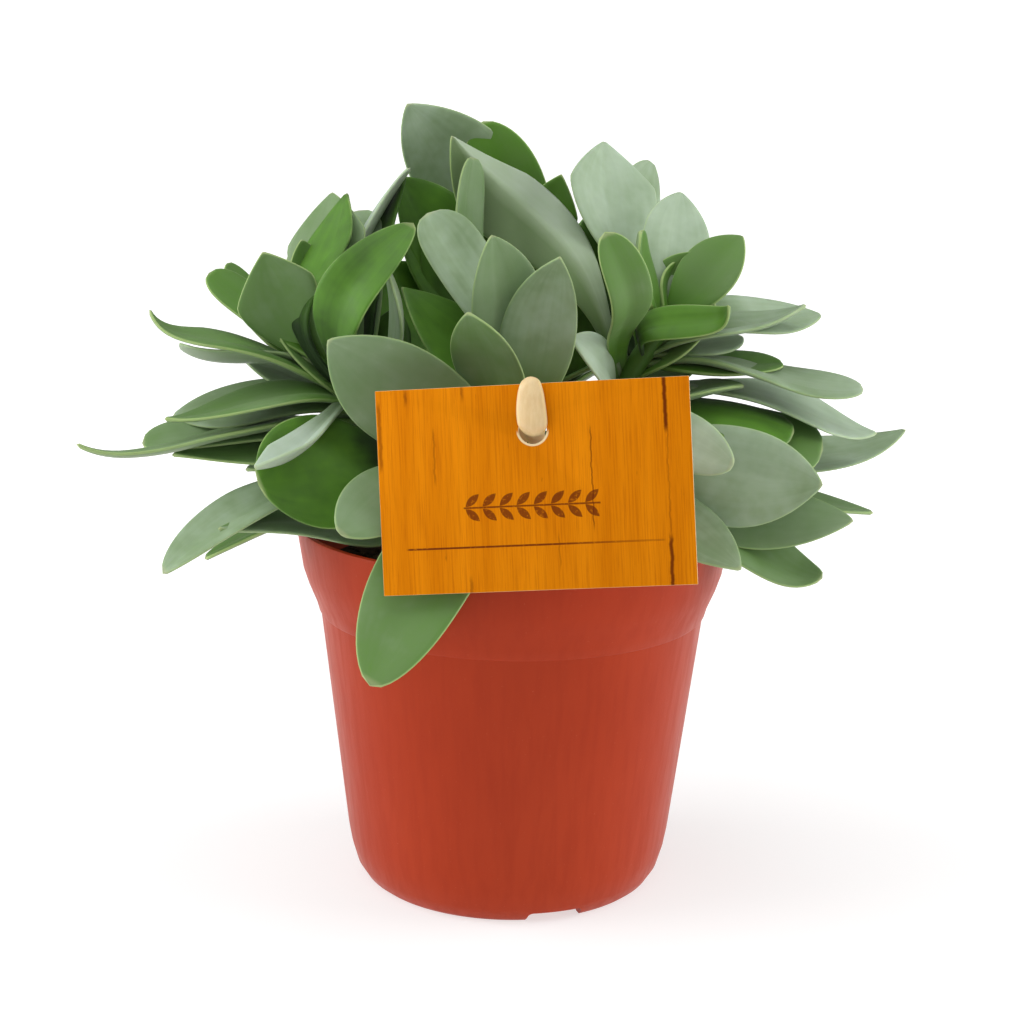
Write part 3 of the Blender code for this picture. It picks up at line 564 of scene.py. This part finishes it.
def leafMaterial():
    material = newMaterial("senecioLeaf")
    tree = material.node_tree
    share = attribute(tree, "share").outputs["Fac"]
    rim = attribute(tree, "rim").outputs["Fac"]
    face = attribute(tree, "face").outputs["Fac"]
    tone = attribute(tree, "tone").outputs["Fac"]
    sort = attribute(tree, "sort").outputs["Fac"]
    side = attribute(tree, "side").outputs["Fac"]
    along = attribute(tree, "along").outputs["Fac"]
    place = objectPlace(tree)
    cloud = grain(tree, place, 60, 3, 0.55)
    mottle = grain(tree, place, 240, 3, 0.6)
    # Faint veins run from root to tip
    blade = tree.nodes.new("ShaderNodeCombineXYZ")
    put(tree, blade.inputs[0], calc(tree, "MULTIPLY", side, 5.0))
    put(tree, blade.inputs[1], calc(tree, "MULTIPLY", along, 0.03))
    put(tree, blade.inputs[2], calc(tree, "MULTIPLY", sort, 40.0))
    vein = grain(tree, blade.outputs[0], 1.0, 2, 0.5)
    shift = calc(tree, "MULTIPLY", calc(tree, "SUBTRACT", cloud, 0.5), 0.50)
    shift = calc(tree, "ADD", shift, calc(tree, "MULTIPLY", calc(tree, "SUBTRACT", vein, 0.5), 0.14))
    shift = calc(tree, "ADD", shift, calc(tree, "MULTIPLY", calc(tree, "SUBTRACT", mottle, 0.5), 0.10))
    level = calc(tree, "ADD", tone, shift)
    # Near its root a leaf is greener, and darker where its neighbours shade it
    level = calc(tree, "SUBTRACT", level, fade(tree, share, 0.0, 0.6, 0.45, 0.0))
    level = calc(tree, "DIVIDE", calc(tree, "ADD", level, 0.4), 1.6, clamp=True)
    # Painted shade: the lowest levels run into the shade green
    colour = ramp(tree, level, [
        (0.0, leafColours["shade"]), (0.25, leafColours["vivid"]), (0.49, leafColours["middle"]),
        (0.69, leafColours["grey"]), (0.875, leafColours["pale"]), (1.0, leafColours["bloom"]),
    ])
    lower = fade(tree, face, 0.45, 0.2)
    bright = fade(tree, level, 0.1, 0.3)
    colour = mix(tree, calc(tree, "MULTIPLY", calc(tree, "MULTIPLY", lower, 0.5), bright), colour,
                 leafColours["under"])
    # Painted shade: towards its root the leaf is mixed into the shade green, where its neighbours shade it
    root = fade(tree, share, 0.42, 0.0, 0.0, 0.64)
    colour = mix(tree, root, colour, leafColours["shade"])
    edge = calc(tree, "MULTIPLY", fade(tree, rim, 0.45, 0.10), fade(tree, share, 0.1, 0.5, 0.10, 0.65))
    edge = calc(tree, "MULTIPLY", edge, fade(tree, level, 0.45, 0.70, 1.0, 0.5))
    colour = mix(tree, calc(tree, "MULTIPLY", edge, bright), colour, leafColours["edge"])
    point = fade(tree, share, 0.982, 0.995, 0.0, 0.35)
    colour = mix(tree, point, colour, leafColours["tip"])
    body = shader(material)
    put(tree, body.inputs["Base Color"], colour)
    put(tree, body.inputs["Roughness"], fade(tree, mottle, 0.3, 0.7, 0.46, 0.60))
    body.inputs["Specular IOR Level"].default_value = 0.25
    body.inputs["Sheen Weight"].default_value = 0.06
    body.inputs["Sheen Roughness"].default_value = 0.5
    body.inputs["Subsurface Weight"].default_value = 0.12
    body.inputs["Subsurface Radius"].default_value = (0.6, 1.0, 0.25)
    body.inputs["Subsurface Scale"].default_value = 0.0015
    height = calc(tree, "ADD", calc(tree, "MULTIPLY", vein, 0.4), calc(tree, "MULTIPLY", mottle, 0.5))
    put(tree, body.inputs["Normal"], bump(tree, height, 0.0003, 0.25))
    return material


# Pot

pot = {
    "height": 102.2,
    "rimRadius": 60.0,
    "bandRadius": 58.2,
    "bandBottom": 90.0,
    "shoulderRadius": 53.6,
    "shoulderHeight": 77.4,
    "lowerRadius": 44.6,
    "lowerHeight": 10.0,
    "footRadius": 39.2,
    "footWidth": 2.2,
    "floorBottom": 3.2,
    "wall": 1.4,
    "steps": 160,
    "notchCount": 3,
    "notchWidth": 15.5,
    "notchHeight": 2.8,
    "notchFirst": -71.0,
    "drainCount": 8,
    "drainRadius": 3.6,
    "drainCircle": 28.0,
}


def innerWall():
    wall = pot["wall"]
    return [
        (0.0, pot["floorBottom"] + wall),
        (pot["lowerRadius"] - 4.6, pot["floorBottom"] + wall),
        (pot["lowerRadius"] - wall - 0.6, pot["lowerHeight"] - 1.5),
        (pot["shoulderRadius"] - wall - 0.3, pot["shoulderHeight"]),
        (pot["shoulderRadius"] - 0.4, 81.0),
        (pot["bandRadius"] - wall - 0.2, pot["bandBottom"] + 0.5),
        (pot["rimRadius"] - wall - 0.3, pot["height"] - 0.6),
    ]


def outerWall():
    return [
        (pot["rimRadius"] - 1.0, pot["height"]),
        (pot["rimRadius"] - 0.2, pot["height"] - 0.3),
        (pot["rimRadius"], pot["height"] - 1.2),
        (pot["bandRadius"], pot["bandBottom"]),
        (pot["bandRadius"] - 1.4, 85.8),
        (pot["shoulderRadius"] + 1.0, 80.6),
        (pot["shoulderRadius"] + 0.3, pot["shoulderHeight"] + 0.7),
        (pot["shoulderRadius"] - 0.3, pot["shoulderHeight"]),
        (pot["lowerRadius"] + 0.9, pot["lowerHeight"] + 5.0),
        (pot["lowerRadius"], pot["lowerHeight"]),
        (pot["lowerRadius"] - 1.6, 4.6),
        (pot["footRadius"] + 1.6, 1.2),
        (pot["footRadius"], 0.0),
        (pot["footRadius"] - pot["footWidth"], 0.0),
        (pot["footRadius"] - pot["footWidth"] - 0.4, pot["floorBottom"]),
        (0.0, pot["floorBottom"]),
    ]


def spun(bm, profile, steps):
    points = [bm.verts.new((radius * mm, 0, height * mm)) for radius, height in profile]
    edges = [bm.edges.new(pair) for pair in zip(points, points[1:])]
    bmesh.ops.spin(bm, geom=points + edges, axis=(0, 0, 1), cent=(0, 0, 0), angle=math.tau,
                   steps=steps, use_merge=True)
    bmesh.ops.remove_doubles(bm, verts=bm.verts, dist=0.00001)
    bmesh.ops.recalc_face_normals(bm, faces=bm.faces)


def cutter(bm, name):
    item = finish(bm, name)
    item.hide_render = True
    item.display_type = "WIRE"
    return item


def cutAway(item, tools):
    for tool in tools:
        cut = item.modifiers.new("cut", "BOOLEAN")
        cut.operation = "DIFFERENCE"
        cut.solver = "EXACT"
        cut.object = tool
    graph = bpy.context.evaluated_depsgraph_get()
    mesh = bpy.data.meshes.new_from_object(item.evaluated_get(graph))
    item.modifiers.clear()
    item.data = mesh
    for tool in tools:
        bpy.data.objects.remove(tool)


def makePot(material):
    bm = bmesh.new()
    spun(bm, innerWall() + outerWall(), pot["steps"])
    item = finish(bm, "pot_fine", material)
    tools = []
    for index in range(pot["drainCount"]):
        angle = math.tau * (index + 0.5) / pot["drainCount"]
        hole = bmesh.new()
        bmesh.ops.create_cone(hole, cap_ends=True, segments=32, radius1=pot["drainRadius"] * mm,
                              radius2=pot["drainRadius"] * mm, depth=20 * mm)
        centre = Vector((math.cos(angle), math.sin(angle), 0)) * pot["drainCircle"] * mm
        bmesh.ops.translate(hole, verts=hole.verts, vec=centre)
        tools.append(cutter(hole, f"drain{index}"))
    for index in range(pot["notchCount"]):
        angle = math.radians(pot["notchFirst"]) + math.tau * index / pot["notchCount"]
        notch = bmesh.new()
        bmesh.ops.create_cube(notch, size=1)
        size = Vector((14.0, pot["notchWidth"], 2 * pot["notchHeight"])) * mm
        bmesh.ops.scale(notch, verts=notch.verts, vec=size)
        upper = [e for e in notch.edges if all(v.co.z > 0 for v in e.verts) and abs(e.verts[0].co.y - e.verts[1].co.y) < 1e-6]
        bmesh.ops.bevel(notch, geom=upper, offset=1.4 * mm, segments=4, profile=0.5, affect="EDGES", material=-1)
        bmesh.ops.translate(notch, verts=notch.verts, vec=(pot["footRadius"] * mm, 0, 0))
        bmesh.ops.rotate(notch, verts=notch.verts, cent=(0, 0, 0), matrix=Matrix.Rotation(angle, 3, "Z"))
        tools.append(cutter(notch, f"notch{index}"))
    cutAway(item, tools)
    item.data.set_sharp_from_angle(angle=math.radians(28))
    stand(item, "terracotta_plastic", "pot")
    print("pot", len(item.data.polygons), "faces")


def potMaterial():
    material = newMaterial("terracottaPlastic")
    tree = material.node_tree
    place = objectPlace(tree)
    cloud = grain(tree, place, 14, 2, 0.5)
    speck = grain(tree, place, 1400, 2, 0.6)
    drawn = grain(tree, objectPlace(tree, (1, 1, 0.04)), 420, 3, 0.6)
    colour = mix(tree, fade(tree, cloud, 0.3, 0.7), (0.385, 0.036, 0.008), (0.425, 0.044, 0.011))
    colour = mix(tree, fade(tree, drawn, 0.35, 0.75, 0.0, 0.35), colour, (0.320, 0.028, 0.007))
    colour = mix(tree, fade(tree, speck, 0.68, 0.80, 0.0, 0.35), colour, (0.560, 0.140, 0.075))
    body = shader(material)
    put(tree, body.inputs["Base Color"], colour)
    put(tree, body.inputs["Roughness"], fade(tree, drawn, 0.3, 0.7, 0.34, 0.44))
    body.inputs["Specular IOR Level"].default_value = 0.12
    body.inputs["Subsurface Weight"].default_value = 0.06
    body.inputs["Subsurface Radius"].default_value = (1.0, 0.25, 0.12)
    body.inputs["Subsurface Scale"].default_value = 0.002
    height = calc(tree, "ADD", calc(tree, "MULTIPLY", drawn, 0.6), calc(tree, "MULTIPLY", speck, 0.4))
    put(tree, body.inputs["Normal"], bump(tree, height, 0.00008, 0.6))
    return material


# Soil

soil = {
    "height": 90.0,
    "dome": 3.0,
    "radius": 55.2,
    "gap": 0.3,
    "rings": 30,
    "steps": 120,
    "lump": 1.1,
    "lumpSize": 5.5,
    "crumbs": 420,
    "crumbSize": (0.7, 2.4),
    "seed": 23,
}


def soilHeight(reach):
    return soil["height"] - soil["dome"] * (reach / soil["radius"]) ** 2


def soilLump(place):
    spot = place / soil["lumpSize"]
    return soil["lump"] * (noise.noise(spot) + 0.5 * noise.noise(spot * 2.7))


def makeSoil(material):
    profile = []
    for ring in range(soil["rings"] + 1):
        reach = soil["radius"] * ring / soil["rings"]
        profile.append((reach, soilHeight(reach)))
    wall = [(radius - soil["gap"], height) for radius, height in innerWall()]
    profile += [wall[4], wall[3], wall[2], (wall[1][0], wall[1][1] + soil["gap"]), (0.0, wall[0][1] + soil["gap"])]
    bm = bmesh.new()
    spun(bm, profile, soil["steps"])
    for vertex in bm.verts:
        reach = math.hypot(vertex.co.x, vertex.co.y) / mm
        if vertex.co.z / mm > soilHeight(reach) - 0.1 and reach < soil["radius"] - 0.5:
            vertex.co.z += soilLump(Vector((vertex.co.x / mm, vertex.co.y / mm, 0))) * mm
    item = finish(bm, "soil_fine", material)
    stand(item, "potting_soil", "soil")
    draw = random.Random(soil["seed"])
    bits = bmesh.new()
    for index in range(soil["crumbs"]):
        reach = (soil["radius"] - 3) * math.sqrt(draw.random())
        angle = draw.uniform(0, math.tau)
        size = between(soil["crumbSize"], draw.random() ** 2) * mm
        place = Vector((reach * math.cos(angle), reach * math.sin(angle), 0))
        place.z = soilHeight(reach) + soilLump(place)
        made = bmesh.ops.create_icosphere(bits, subdivisions=1, radius=size)
        verts = made["verts"]
        stretch = Vector((draw.uniform(0.7, 1.8), draw.uniform(0.5, 1.0), draw.uniform(0.35, 0.8)))
        bmesh.ops.scale(bits, verts=verts, vec=stretch)
        turn = Matrix.Rotation(draw.uniform(0, math.tau), 3, "Z") @ Matrix.Rotation(draw.uniform(-0.6, 0.6), 3, "X")
        bmesh.ops.rotate(bits, verts=verts, cent=(0, 0, 0), matrix=turn)
        for vertex in verts:
            vertex.co *= draw.uniform(0.8, 1.2)
        bmesh.ops.translate(bits, verts=verts, vec=place * mm)
    crumbs = finish(bits, "soil_crumbs", material, smooth=False)
    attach(crumbs, "root")
    print("soil", len(item.data.polygons) + len(crumbs.data.polygons), "faces")


def soilMaterial():
    material = newMaterial("pottingSoil")
    tree = material.node_tree
    place = objectPlace(tree)
    coarse = grain(tree, place, 260, 4, 0.65)
    fine = grain(tree, place, 1300, 3, 0.7)
    colour = ramp(tree, coarse, [
        (0.30, (0.010, 0.006, 0.004)), (0.50, (0.030, 0.018, 0.010)), (0.72, (0.085, 0.050, 0.026)),
    ])
    colour = mix(tree, fade(tree, fine, 0.62, 0.75, 0.0, 0.6), colour, (0.160, 0.105, 0.060))
    body = shader(material)
    put(tree, body.inputs["Base Color"], colour)
    body.inputs["Roughness"].default_value = 0.95
    body.inputs["Specular IOR Level"].default_value = 0.2
    height = calc(tree, "ADD", coarse, calc(tree, "MULTIPLY", fine, 0.5))
    put(tree, body.inputs["Normal"], bump(tree, height, 0.0012, 0.9))
    return material


# Card

card = {
    "width": 78.0,
    "height": 51.0,
    "thickness": 0.8,
    "centre": (5.2, -66.0, 126.2),
    "yaw": -7.6,
    "lean": -11.8,
    "roll": -5.2,
    "holeRadius": 3.5,
    "holeBelowTop": 11.4,
    "softEdge": 0.16,
}


def cardPose():
    turn = Matrix.Rotation(math.radians(card["yaw"]), 4, "Z")
    turn = turn @ Matrix.Rotation(math.radians(card["lean"]), 4, "X")
    turn = turn @ Matrix.Rotation(math.radians(card["roll"]), 4, "Y")
    return Matrix.Translation(Vector(card["centre"]) * mm) @ turn


def makeCard(material):
    pose = cardPose()
    bm = bmesh.new()
    bmesh.ops.create_cube(bm, size=1)
    size = Vector((card["width"], card["thickness"], card["height"])) * mm
    bmesh.ops.scale(bm, verts=bm.verts, vec=size)
    item = finish(bm, "card_fine", material)
    hole = bmesh.new()
    bmesh.ops.create_cone(hole, cap_ends=True, segments=48, radius1=card["holeRadius"] * mm,
                          radius2=card["holeRadius"] * mm, depth=10 * mm)
    bmesh.ops.rotate(hole, verts=hole.verts, cent=(0, 0, 0), matrix=Matrix.Rotation(math.pi / 2, 3, "X"))
    bmesh.ops.translate(hole, verts=hole.verts, vec=(0, 0, (card["height"] / 2 - card["holeBelowTop"]) * mm))
    cutAway(item, [cutter(hole, "cardHole")])
    bm = bmesh.new()
    bm.from_mesh(item.data)
    bmesh.ops.remove_doubles(bm, verts=bm.verts, dist=0.000001)
    corners = [edge for edge in bm.edges if edge.calc_face_angle(0) > math.radians(40)]
    bmesh.ops.bevel(bm, geom=corners, offset=card["softEdge"] * mm, segments=2, profile=0.5,
                    affect="EDGES", material=-1)
    spot = bm.verts.layers.float_vector.new("onCard")
    for vertex in bm.verts:
        vertex[spot] = vertex.co / mm
    bmesh.ops.transform(bm, matrix=pose, verts=bm.verts)
    bm.to_mesh(item.data)
    bm.free()
    item.data.shade_smooth()
    item.data.set_sharp_from_angle(angle=math.radians(30))
    stand(item, "printed_card", "card")
    print("card", len(item.data.polygons), "faces")


cardColours = {
    "light": (0.740, 0.235, 0.003),
    "amber": (0.600, 0.168, 0.001),
    "dark": (0.400, 0.080, 0.001),
    "streak": (0.130, 0.020, 0.002),
    "ink": (0.120, 0.016, 0.004),
    "core": (0.800, 0.640, 0.380),
}

# Cracks in the printed wood grain: place across, lowest and highest place, half width, strength
cracks = [
    (32.8, 12.5, 27.0, 0.75, 0.95),
    (32.9, -27.0, -13.5, 0.70, 0.90),
    (33.0, -13.0, 12.0, 0.30, 0.35),
    (14.2, -10.5, 14.0, 0.26, 0.70),
    (-31.4, 22.0, 25.0, 0.60, 0.55),
    (-17.2, 22.5, 26.5, 0.50, 0.50),
    (-24.8, 2.0, 15.0, 0.40, 0.40),
    (-38.2, 6.0, 22.0, 0.60, 0.55),
    (-16.8, -27.0, -22.0, 0.60, 0.45),
    (5.4, -20.0, -12.0, 0.30, 0.30),
]

# Printed ornament: a straight sprig with pairs of leaves
sprig = {
    "centre": (-1.0, -4.5),
    "halfLength": 17.0,
    "stemHalf": 0.22,
    "pitch": 4.25,
    "leafLean": 42.0,
    "leafMiddle": 2.7,
    "leafHalf": 2.3,
    "leafWide": 0.95,
}

ruleLine = {"up": -14.25, "from": -32.4, "to": 31.4, "half": 0.24}


def within(tree, value, low, high, soft):
    above = fade(tree, value, low - soft, low + soft)
    below = fade(tree, value, high + soft, high - soft)
    return calc(tree, "MULTIPLY", above, below)


def crackPrint(tree, across, up, waver):
    found = 0.0
    for place, low, high, half, strength in cracks:
        off = calc(tree, "ABSOLUTE", calc(tree, "SUBTRACT", across, calc(tree, "ADD", waver, place)))
        line = fade(tree, off, half, half * 0.25, 0.0, strength)
        line = calc(tree, "MULTIPLY", line, within(tree, up, low, high, 1.5))
        found = line if found == 0.0 else calc(tree, "MAXIMUM", found, line)
    return found


def sprigPrint(tree, across, up):
    x = calc(tree, "SUBTRACT", across, sprig["centre"][0])
    y = calc(tree, "ABSOLUTE", calc(tree, "SUBTRACT", up, sprig["centre"][1]))
    reach = calc(tree, "ABSOLUTE", x)
    stem = fade(tree, y, sprig["stemHalf"] + 0.05, sprig["stemHalf"] - 0.05)
    cell = calc(tree, "SUBTRACT", calc(tree, "FLOORED_MODULO", x, sprig["pitch"]), 0.2)
    lean = math.radians(sprig["leafLean"])
    far = calc(tree, "ADD", calc(tree, "MULTIPLY", cell, math.cos(lean)), calc(tree, "MULTIPLY", y, math.sin(lean)))
    off = calc(tree, "SUBTRACT", calc(tree, "MULTIPLY", y, math.cos(lean)), calc(tree, "MULTIPLY", cell, math.sin(lean)))
    far = calc(tree, "DIVIDE", calc(tree, "SUBTRACT", far, sprig["leafMiddle"]), sprig["leafHalf"])
    off = calc(tree, "DIVIDE", off, sprig["leafWide"])
    size = calc(tree, "ADD", calc(tree, "MULTIPLY", far, far), calc(tree, "ABSOLUTE", off))
    pairs = fade(tree, size, 1.06, 0.94)
    shape = calc(tree, "MAXIMUM", stem, pairs)
    return calc(tree, "MULTIPLY", shape, fade(tree, reach, sprig["halfLength"] + 0.05, sprig["halfLength"] - 0.05))


def cardMaterial():
    material = newMaterial("printedCard")
    tree = material.node_tree
    place = attribute(tree, "onCard").outputs["Vector"]
    split = tree.nodes.new("ShaderNodeSeparateXYZ")
    put(tree, split.inputs[0], place)
    across, through, up = split.outputs
    fibre = grain(tree, mapped(tree, place, (2.4, 0.0, 0.06)), 1.0, 5, 0.65)
    board = grain(tree, mapped(tree, place, (0.13, 0.0, 0.010)), 1.0, 2, 0.5)
    fleck = grain(tree, mapped(tree, place, (0.9, 0.0, 0.16)), 1.0, 3, 0.55)
    waver = calc(tree, "MULTIPLY", calc(tree, "SUBTRACT", grain(tree, mapped(tree, place, (0.0, 0.0, 0.3)), 1.0, 4), 0.5), 1.3)
    colour = ramp(tree, board, [
        (0.30, cardColours["amber"]), (0.65, cardColours["light"]),
    ])
    colour = mix(tree, fade(tree, fibre, 0.42, 0.72, 0.0, 0.5), colour, cardColours["dark"])
    colour = mix(tree, fade(tree, fleck, 0.68, 0.80, 0.0, 0.55), colour, cardColours["streak"])
    colour = mix(tree, crackPrint(tree, across, up, waver), colour, cardColours["streak"])
    front = fade(tree, through, 0.0, -0.2)
    line = calc(tree, "ABSOLUTE", calc(tree, "SUBTRACT", up, ruleLine["up"]))
    line = fade(tree, line, ruleLine["half"] + 0.06, ruleLine["half"] - 0.06)
    line = calc(tree, "MULTIPLY", line, within(tree, across, ruleLine["from"], ruleLine["to"], 0.6))
    line = calc(tree, "MULTIPLY", line, fade(tree, across, 0.0, ruleLine["to"], 0.9, 0.35))
    ink = calc(tree, "MAXIMUM", line, calc(tree, "MULTIPLY", sprigPrint(tree, across, up), 0.82))
    worn = fade(tree, grain(tree, place, 1.6, 3, 0.6), 0.30, 0.45, 0.55, 1.0)
    ink = calc(tree, "MULTIPLY", calc(tree, "MULTIPLY", ink, worn), front)
    colour = mix(tree, ink, colour, cardColours["ink"])
    fromHole = calc(tree, "SUBTRACT", up, card["height"] / 2 - card["holeBelowTop"])
    reach = calc(tree, "SQRT", calc(tree, "ADD", calc(tree, "MULTIPLY", across, across),
                                    calc(tree, "MULTIPLY", fromHole, fromHole)))
    lip = fade(tree, reach, card["holeRadius"] + 0.65, card["holeRadius"] + 0.40)
    lip = calc(tree, "MULTIPLY", lip, fade(tree, fromHole, 0.2, -1.2))
    body = shader(material)
    inside = calc(tree, "ABSOLUTE", through)
    cut = fade(tree, inside, card["thickness"] / 2 - 0.10, card["thickness"] / 2 - 0.02, 1.0, 0.0)
    colour = mix(tree, calc(tree, "MAXIMUM", cut, lip), colour, cardColours["core"])
    put(tree, body.inputs["Base Color"], colour)
    body.inputs["Roughness"].default_value = 0.6
    body.inputs["Specular IOR Level"].default_value = 0.02
    put(tree, body.inputs["Normal"], bump(tree, fibre, 0.00006, 0.4))
    return material


# Band

band = {
    "width": 5.0,
    "thickness": 0.9,
    "crown": 0.7,
    "steps": 200,
    "sides": 16,
    "lookAhead": 0.002,
    "onStem": 0.35,
    "gap": 0.3,
    "tube": 0.25,
}


def bandRoute():
    pose = cardPose()
    pose.translation /= mm
    turn = pose.to_3x3()
    top = card["height"] / 2
    hole = top - card["holeBelowTop"]
    acrossCard = turn @ Vector((1, 0, 0))
    width = band["width"]
    onCard = [
        ((0.8, 15.6, hole - 7.9), 4.2),
        ((0.3, 7.6, hole - 4.1), 4.6),
        ((0.1, 3.2, hole - 1.8), 5.0),
        ((0.2, 0.2, hole - 0.9), 5.8),
        ((0.2, -1.7, hole + 1.0), 7.3),
        ((0, -2.0, hole + 4.6), 7.5),
        ((0, -1.8, top - 2.6), 6.6),
        ((0, -1.1, top + 0.3), 5.2),
        ((0, 0.4, top + 1.3), 4.2),
        ((-0.3, 2.9, top - 0.3), 4.0),
        ((-1.4, 6.8, top - 3.3), 4.0),
        ((-3.2, 14.2, top - 8.2), 4.0),
    ]
    route = [(pose @ Vector(place), acrossCard, wide) for place, wide in onCard]
    centre = stemPoint(stems["leafy_stem_centre"], band["onStem"])
    reach = stemForm["radius"] + band["gap"] + band["thickness"]
    for angle, lift in ((205, 2.5), (150, 1.2), (90, 0.0), (30, -1.2), (-25, -2.5)):
        around = math.radians(angle)
        place = centre + Vector((reach * math.cos(around), reach * math.sin(around), lift))
        route.append((place, Vector((0, 0, 1)), width - 1.0))
    return route


def alongRoute(route, share):
    count = len(route)
    place = share * count
    index = int(place) % count
    rest = place - int(place)
    near = [route[(index + step - 1) % count] for step in range(4)]
    weights = (
        -0.5 * rest + rest ** 2 - 0.5 * rest ** 3,
        1 - 2.5 * rest ** 2 + 1.5 * rest ** 3,
        0.5 * rest + 2 * rest ** 2 - 1.5 * rest ** 3,
        -0.5 * rest ** 2 + 0.5 * rest ** 3,
    )
    middle = sum((near[step][0] * weights[step] for step in range(4)), Vector())
    way = near[1][1] * (1 - rest) + near[2][1] * rest
    width = sum(near[step][2] * weights[step] for step in range(4))
    return middle, way.normalized(), width


def makeBand(material):
    route = bandRoute()
    bm = bmesh.new()
    tube = band["tube"]
    ring = bmesh.ops.create_circle(bm, segments=band["sides"], radius=tube)["verts"]
    bmesh.ops.rotate(bm, verts=ring, cent=(0, 0, 0), matrix=Matrix.Rotation(math.pi / 2, 3, "X"))
    bmesh.ops.translate(bm, verts=ring, vec=(1, 0, 0))
    bmesh.ops.spin(bm, geom=bm.verts[:] + bm.edges[:], axis=(0, 0, 1), cent=(0, 0, 0),
                   angle=math.tau, steps=band["steps"], use_merge=True)
    side = bm.verts.layers.float.new("side")
    alongLayer = bm.verts.layers.float.new("along")
    for vertex in bm.verts:
        share = (math.atan2(vertex.co.y, vertex.co.x) / math.tau) % 1.0
        edgeward = (math.hypot(vertex.co.x, vertex.co.y) - 1) / tube
        rise = vertex.co.z / tube
        middle, way, width = alongRoute(route, share)
        ahead = alongRoute(route, (share + band["lookAhead"]) % 1.0)[0] - middle
        flat = way.cross(ahead).normalized()
        across = ahead.cross(flat).normalized()
        place = middle + across * (edgeward * width / 2) + flat * (rise * band["thickness"] / 2)
        place -= flat * (band["crown"] * edgeward ** 2)
        vertex.co = place * mm
        vertex[side] = edgeward
        vertex[alongLayer] = share
    bmesh.ops.recalc_face_normals(bm, faces=bm.faces)
    item = finish(bm, "band_fine", material)
    stand(item, "cream_band", "band")
    print("band", len(item.data.polygons), "faces")


def bandMaterial():
    material = newMaterial("creamBand")
    tree = material.node_tree
    side = attribute(tree, "side").outputs["Fac"]
    fibre = grain(tree, objectPlace(tree, (1, 1, 0.15)), 900, 3, 0.6)
    colour = mix(tree, fade(tree, fibre, 0.3, 0.7), (0.70, 0.50, 0.25), (0.76, 0.57, 0.31))
    edge = fade(tree, calc(tree, "ABSOLUTE", side), 0.72, 0.95)
    colour = mix(tree, calc(tree, "MULTIPLY", edge, 0.7), colour, (0.90, 0.66, 0.32))
    body = shader(material)
    put(tree, body.inputs["Base Color"], colour)
    body.inputs["Roughness"].default_value = 0.45
    body.inputs["Subsurface Weight"].default_value = 0.25
    body.inputs["Subsurface Radius"].default_value = (1.0, 0.6, 0.3)
    body.inputs["Subsurface Scale"].default_value = 0.0015
    put(tree, body.inputs["Normal"], bump(tree, fibre, 0.0001, 0.5))
    return material


addCamera()
addLights()
addStage()
print("studio ready")
makePot(potMaterial())
makeSoil(soilMaterial())
green = leafMaterial()
grown = 0
for stemName in stems:
    grown = growStemWithLeaves(stemName, green, grown)
makeCard(cardMaterial())
makeBand(bandMaterial())
